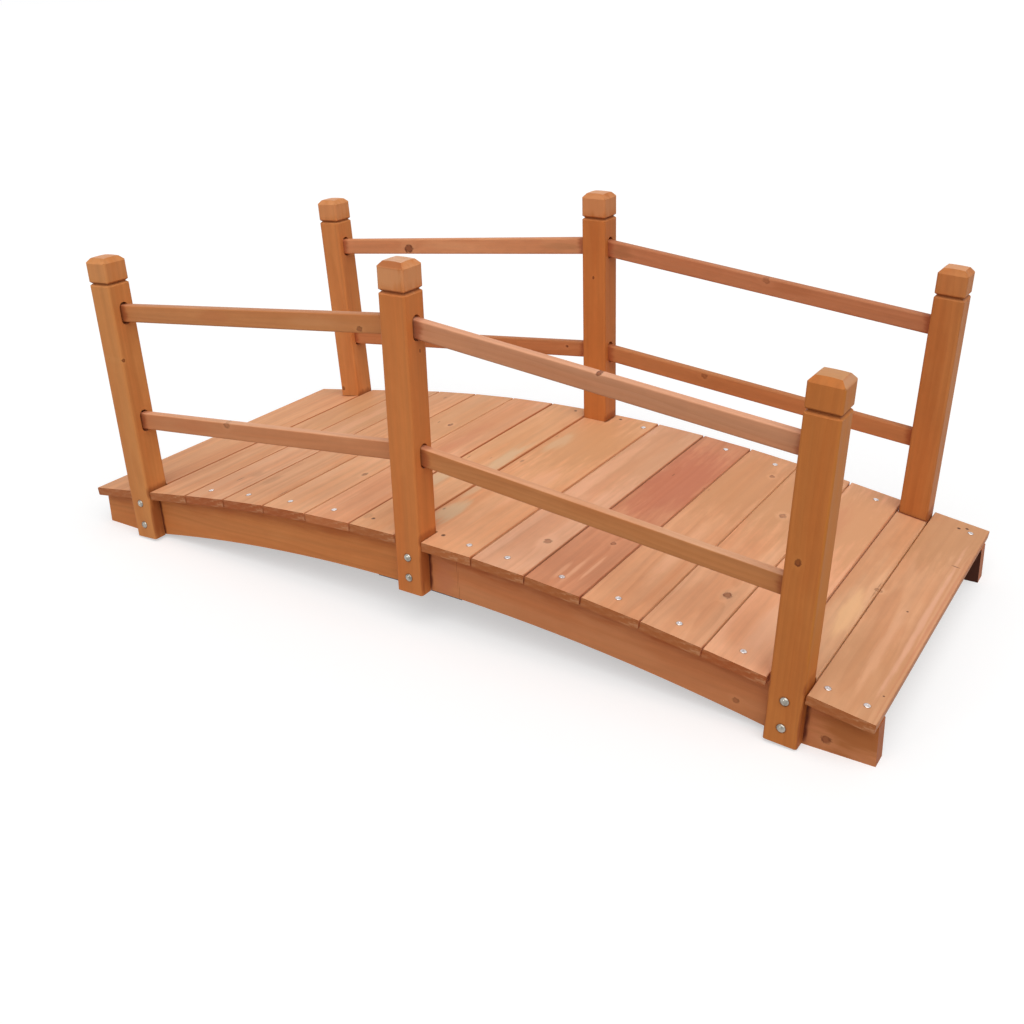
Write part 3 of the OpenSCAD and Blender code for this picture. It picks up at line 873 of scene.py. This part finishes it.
# %% Dress the rails
for side_name, side in SIDES:
    for place, s in (("left", -1), ("right", 1)):
        for row, (high, low) in RAIL_ENDS.items():
            node, y = f"rail_{side_name}_{place}_{row}", side * RAIL_Y
            colour, top = rail_looks[node]
            tints = look(colour, (180, 104, 62), contrast=0.22, ring=rng.uniform(0.006, 0.009),
                         top=top)
            spots = [((s * x, y, high + (low - high) * (x - POST_HALF) / RAIL_RUN), 0.03, 0.014,
                      RAIL_END_DARK, 0.6) for x in (0.024, 0.584 if row == "upper" else 0.572)]
            centre = tree_centre(0.05, 0.02, 0.06)
            dress(node, timber_finish(
                f"{node}_timber", (s * POST_HALF, y, high), (s * RAIL_RUN, 0, low - high),
                (0, 0, 1), tints, rng.uniform(60, 99), centre, rail_knots.get(node, ()),
                patches=spots + rail_patches.get(node, [])))
print("rails dressed:", len(rail_looks))

# %% [markdown]
# ## Stringers
# The four curved side beams are sawn from straight planks, so the grain runs straight
# from end to end and the arch cuts across it. Painted shade darkens the corners beside the
# posts, the band under the boards' overhang, the last part of one near beam and one inner
# end, which is nearly black. One beam has a faint upright line near its middle. A row of
# overlapping patches follows each corner, which is simpler than a mask of the curve.

# %% Sizes and marks of the stringers
BEAM_Y, BEAM_OUT_Y, BEAM_IN_Y = 0.266, 0.279, 0.253
SOFFIT_CROWN, SOFFIT_RADIUS = 0.0588, 3.050
# BEAM_CORNER_SHADE and OVERHANG_SHADE are painted shade, beside the posts and under the boards'
# overhang
BEAM_CORNER_SHADE, OVERHANG_SHADE, FAINT_LINE = (84, 28, 12), (168, 72, 10), (140, 76, 42)


def soffit_z(x, radius=SOFFIT_RADIUS):
    """The height of the arch under a beam, or of a curve with the same middle."""
    return SOFFIT_CROWN - SOFFIT_RADIUS + math.sqrt(radius ** 2 - x ** 2)


def beam_patches(s, y):
    # painted shade in the corners beside the posts
    spots = []
    for post_x, edges in ((0.0, (1,)), (FOOT_X, (-1, 1))):
        top, low = deck_z(post_x) - BOARD_T, max(soffit_z(post_x), 0.0)
        for z in (low + (top - low) * part for part in (0.2, 0.5, 0.8)):
            x = post_x + (z - FOOT_Z) * math.tan(LEAN) * (post_x > 0)
            spots += [((s * (x + away * 0.0235), y, z), (top - low) * 0.25, 0.0060,
                       BEAM_CORNER_SHADE, 0.9) for away in edges]
    # painted shade in a row under the boards' overhang
    return spots + [((s * x, y, deck_z(x) - BOARD_T - 0.002), 0.024, 0.06, OVERHANG_SHADE,
                     0.5 if s > 0 else 0.32) for x in (0.08, 0.16, 0.24, 0.32, 0.40, 0.48, 0.66)]


beam_knots = {"stringer_near_right": [((0.635, -0.279, 0.0165), 0.005, INTO, 0.7),
                                      ((0.513, -0.279, 0.0325), 0.0035, INTO, 0.5)]}
beam_marks = {
    "stringer_near_right": [
        # painted shade on the last part of the beam, under the end board's overhang and near the
        # floor
        ((0.665, -BEAM_OUT_Y, 0.05), 0.06, 0.055, (164, 93, 40), 0.7),
        ((0.050, -BEAM_OUT_Y, 0.085), 0.035, 0.022, (190, 112, 78), 0.45)] + [
        ((x, -BEAM_OUT_Y, z), tall, 0.0009, FAINT_LINE, 0.45)
        for x, z, tall in ((0.0735, 0.115, 0.020), (0.0745, 0.090, 0.020),
                           (0.0760, 0.068, 0.016))],
    # painted shade, nearly black, on the inner face of the beam's last part, under the deck
    "stringer_far_right": [((0.690, BEAM_IN_Y, 0.030), 0.12, 0.060, (58, 22, 12), 0.95,
                            (0, -1, 0))]}
beam_tints = {"stringer_near_left": (204, 127, 70), "stringer_near_right": (199, 126, 80),
              "stringer_far_left": (204, 127, 70), "stringer_far_right": (199, 124, 73)}
print("patches on a beam:", len(beam_patches(1, BEAM_OUT_Y)))

# %% Dress the stringers
for side_name, side in SIDES:
    for place, s in (("left", -1), ("right", 1)):
        node = f"stringer_{side_name}_{place}"
        centre = tree_centre(0.05, 0.03, 0.08)
        dress(node, timber_finish(
            f"{node}_timber", (s * 0.35, side * BEAM_Y, 0.07), (s, 0, -0.07), (0, 0, 1),
            look(beam_tints[node], (168, 94, 50), 0.3, 0.008), rng.uniform(100, 140), centre,
            beam_knots.get(node, ()),
            patches=beam_patches(s, side * BEAM_OUT_Y) + beam_marks.get(node, [])))
print("timber materials:", sum("timber" in m.name for m in bpy.data.materials))

# %% [markdown]
# ## Steel
# The bolts, nuts and screws are zinc plated, a bright grey with cloudy patches. The
# straps under the beams are dark, almost blue. One group gives both their unevenness:
# slow clouds for the colour and fine specks for the gloss.

# %% Node group: plated steel
plating, given, result = new_group(
    "plating", {"Vector": "Vector", "Bright": "Color", "Dull": "Color", "Size": "Float"},
    {"Color": "Color", "Roughness": "Float", "Height": "Float"})
t = plating
place = vector(t, "SCALE", given["Vector"], scale=given["Size"])
cloud = put(t, "TexNoise", {"Vector": place, "Scale": 0.35, "Detail": 4.0}).outputs["Fac"]
speck = put(t, "TexNoise", {"Vector": place, "Scale": 3.0, "Detail": 3.0}).outputs["Fac"]
put_out(t, result, Color=blend(t, step(t, cloud, 0.35, 0.68), given["Bright"], given["Dull"]),
        Roughness=between(t, add(t, cloud, speck), 0.14, 0.24), Height=speck)


def steel_finish(name, bright, dull, size, metallic, bump_depth):
    material, t = new_material(name)
    made = use(t, plating, {"Vector": put(t, "TexCoord").outputs["Object"], "Size": size,
                            "Bright": linear(*bright), "Dull": linear(*dull)})
    bump = put(t, "Bump", {"Strength": 0.4, "Distance": bump_depth, "Height": made["Height"]})
    shader = put(t, "BsdfPrincipled", {"Base Color": made["Color"], "Metallic": metallic,
                                       "Roughness": made["Roughness"], "Normal": bump.outputs[0]})
    put(t, "OutputMaterial", {"Surface": shader.outputs[0]})
    return material


dull_zinc = steel_finish("dull_zinc", (176, 172, 162), (128, 122, 112), 300, 1.0, 0.00001)
bright_zinc = steel_finish("bright_zinc", (226, 220, 217), (194, 188, 188), 500, 1.0, 0.00001)
dark_steel = steel_finish("dark_steel", (64, 70, 82), (38, 42, 52), 220, 0.6, 0.00005)
for side_name, side in SIDES:
    dress(f"strap_{side_name}", dark_steel)

# %% [markdown]
# ## Coach bolts
# Two coach bolts hold each post to its beam. Outside, only the low domed head shows. It
# is a turned shape, so half its outline is drawn as a few points and spun round the
# axis, which gives an even dome with few faces. Inside, a washer, a hexagonal nut and the
# end of the thread show.

# %% Helpers that make a steel piece
def finish_piece(bm, name, material, smooth):
    """Cleans a bmesh, makes its faces point outwards and turns it into a riding piece."""
    bmesh.ops.remove_doubles(bm, verts=bm.verts, dist=0.000005)
    bmesh.ops.recalc_face_normals(bm, faces=bm.faces)
    mesh = bpy.data.meshes.new(name)
    bm.to_mesh(mesh)
    bm.free()
    mesh.materials.append(material)
    for face in mesh.polygons:
        face.use_smooth = True
    mesh.set_sharp_from_angle(angle=math.radians(smooth))
    piece = bpy.data.objects.new(name, mesh)
    bpy.context.scene.collection.objects.link(piece)
    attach(piece, "root")
    return piece


def settle(bm, place):
    """Moves what was made last to its place. A tag marks what has been moved before."""
    fresh = [v for v in bm.verts if not v.tag]
    bmesh.ops.transform(bm, matrix=place, verts=fresh)
    for v in fresh:
        v.tag = True


def turned(bm, outline, steps, place):
    """Spins an outline of (radius, height) points round z and puts the shape in place."""
    points = [bm.verts.new((r, 0, z)) for r, z in outline]
    edges = [bm.edges.new(pair) for pair in zip(points, points[1:])]
    bmesh.ops.spin(bm, geom=points + edges, cent=(0, 0, 0), axis=(0, 0, 1),
                   angle=2 * math.pi, steps=steps, use_merge=True)
    settle(bm, place)


def verts_in(geom):
    return [g for g in geom if isinstance(g, bmesh.types.BMVert)]


def edges_in(geom):
    return [g for g in geom if isinstance(g, bmesh.types.BMEdge)]


def facing_out(point, side, angle=0.0):
    """A place whose z looks out of the bridge's side, turned by an angle."""
    look_out = Matrix.Rotation(math.radians(90) * (1 if side < 0 else -1), 4, "X")
    return Matrix.Translation(point) @ look_out @ Matrix.Rotation(angle, 4, "Z")


# %% Make the bolts and nuts
HEAD_R, HEAD_H, HEAD_RIM = 0.0063, 0.0034, 0.0005
WASHER_R, WASHER_HOLE, WASHER_T = 0.0070, 0.0031, 0.0012
NUT_R, NUT_T, THREAD_R, THREAD_OUT = 0.00577, 0.005, 0.0029, 0.0086
cap = HEAD_H - HEAD_RIM
ball = (HEAD_R ** 2 + cap ** 2) / (2 * cap)
rim_turn = math.asin(HEAD_R / ball)
dome = [(0, 0), (HEAD_R, 0)]
dome += [(ball * math.sin(a), HEAD_H - ball * (1 - math.cos(a)))
         for a in (rim_turn * k / 6 for k in range(6, 0, -1))] + [(0, HEAD_H)]
washer = [(WASHER_HOLE, 0), (WASHER_R, 0), (WASHER_R, WASHER_T), (WASHER_HOLE, WASHER_T),
          (WASHER_HOLE, 0)]
thread = [(0, 0), (THREAD_R, 0), (THREAD_R, THREAD_OUT - 0.0008),
          (THREAD_R - 0.0007, THREAD_OUT), (0, THREAD_OUT)]
for side_name, side in SIDES:
    for place, (x, z) in bolt_places.items():
        bm = bmesh.new()
        turned(bm, dome, 28, facing_out((x, side * POST_FACE_Y, z), side))
        finish_piece(bm, f"bolt_head_{side_name}_{place}", dull_zinc, 55)

        bm = bmesh.new()
        inner = side * BEAM_IN_Y
        turned(bm, washer, 28, facing_out((x, inner, z), -side))
        spin_by = rng.uniform(0, 1)
        made = bmesh.ops.create_circle(bm, cap_ends=True, segments=6, radius=NUT_R)["verts"]
        bmesh.ops.transform(bm, verts=made, matrix=facing_out(
            (x, inner - side * WASHER_T, z), -side, spin_by))
        raised = bmesh.ops.extrude_face_region(bm, geom=[made[0].link_faces[0]])["geom"]
        bmesh.ops.translate(bm, vec=(0, -side * NUT_T, 0), verts=verts_in(raised))
        rims = [e for e in bm.edges if not any(v.tag for v in e.verts)]
        bmesh.ops.bevel(bm, geom=rims, offset=0.0004, segments=2, profile=0.5, affect="EDGES",
                        material=-1, clamp_overlap=True)
        for v in bm.verts:
            v.tag = True
        turned(bm, thread, 16, facing_out((x, inner, z), -side))
        finish_piece(bm, f"nut_{side_name}_{place}", dull_zinc, 35)
print("bolts:", 2 * len(bolt_places))

# %% [markdown]
# ## Deck screws
# A deck screw shows a flat round head with a cross cut into it, a little proud of the
# wood. A Boolean cut would leave long thin faces round so small a cross, so the head is
# grown from the cross outwards. The cross is a grid of nine squares without its corners,
# pushed down and drawn in. The ring round it is pulled out to a circle, and its rim
# slopes down before it drops into the wood.

# %% Make the deck screws
FLAT_PART = 0.9


def screw_head(bm, place, radius=0.0043, rise=0.0007):
    grid = bmesh.ops.create_grid(bm, x_segments=3, y_segments=3, size=0.0020)
    cells = list(dict.fromkeys(f for v in grid["verts"] for f in v.link_faces))
    corners = [f for f in cells if all(abs(c) > 0.001 for c in f.calc_center_median()[:2])]
    bmesh.ops.delete(bm, geom=corners, context="FACES")
    cross = [f for f in cells if f.is_valid]
    outline = [e for e in dict.fromkeys(e for f in cross for e in f.edges)
               if len(e.link_faces) == 1]
    bmesh.ops.extrude_edge_only(bm, edges=outline)
    bmesh.ops.subdivide_edges(bm, edges=[e for e in bm.edges if e.is_boundary], cuts=1)
    rim = set(v for e in bm.edges if e.is_boundary for v in e.verts)
    for v in rim:
        v.co = Vector((v.co.x, v.co.y, 0)).normalized() * radius * FLAT_PART
    pit = verts_in(bmesh.ops.extrude_face_region(bm, geom=cross)["geom"])
    bmesh.ops.delete(bm, geom=[f for f in cross if f.is_valid], context="FACES_ONLY")
    bmesh.ops.translate(bm, vec=(0, 0, -rise * 0.8), verts=pit)
    bmesh.ops.scale(bm, vec=(0.7, 0.7, 1), verts=pit)
    edge = [e for e in bm.edges if all(v in rim for v in e.verts)]
    skirt = bmesh.ops.extrude_edge_only(bm, edges=edge)["geom"]
    bmesh.ops.scale(bm, vec=(1 / FLAT_PART, 1 / FLAT_PART, 1), verts=verts_in(skirt))
    bmesh.ops.translate(bm, vec=(0, 0, -rise * 0.45), verts=verts_in(skirt))
    base = bmesh.ops.extrude_edge_only(bm, edges=edges_in(skirt))["geom"]
    bmesh.ops.translate(bm, vec=(0, 0, -rise * 0.55), verts=verts_in(base))
    bmesh.ops.contextual_create(bm, geom=edges_in(base))
    settle(bm, place @ Matrix.Translation((0, 0, rise)))


def any_way_round():
    return Matrix.Rotation(rng.uniform(0, 1.57), 4, "Z")


for i, places in screws.items():
    if not places:
        continue
    bm = bmesh.new()
    for point in places:
        screw_head(bm, Matrix.Translation(point) @ Matrix.Rotation(boards[i]["turn"], 4, "Y")
                   @ any_way_round())
    finish_piece(bm, f"deck_screws_{i}", bright_zinc, 35)
print("boards with screws:", sum(bool(s) for s in screws.values()))

# %% [markdown]
# ## Strap screws
# Four short screws with the same cross cut fix each strap from below, two on each side
# of the joint it bridges. They follow the strap's curve, so each is turned to face the
# middle of the arch's circle.

# %% Make the strap screws
STRAP_GAP, STRAP_T = 0.0003, 0.0025
STRAP_RADIUS = SOFFIT_RADIUS - STRAP_GAP - STRAP_T
for side_name, side in SIDES:
    bm = bmesh.new()
    for x in (-0.064, -0.034, 0.034, 0.064):
        lean = math.asin(x / STRAP_RADIUS)
        screw_head(bm, Matrix.Translation((x, side * BEAM_Y, soffit_z(x, STRAP_RADIUS)))
                   @ Matrix.Rotation(math.pi + lean, 4, "Y") @ any_way_round(), radius=0.0038)
    finish_piece(bm, f"strap_screws_{side_name}", dark_steel, 35)
print("strap screws under the middle, at height", round(soffit_z(0, STRAP_RADIUS), 4))
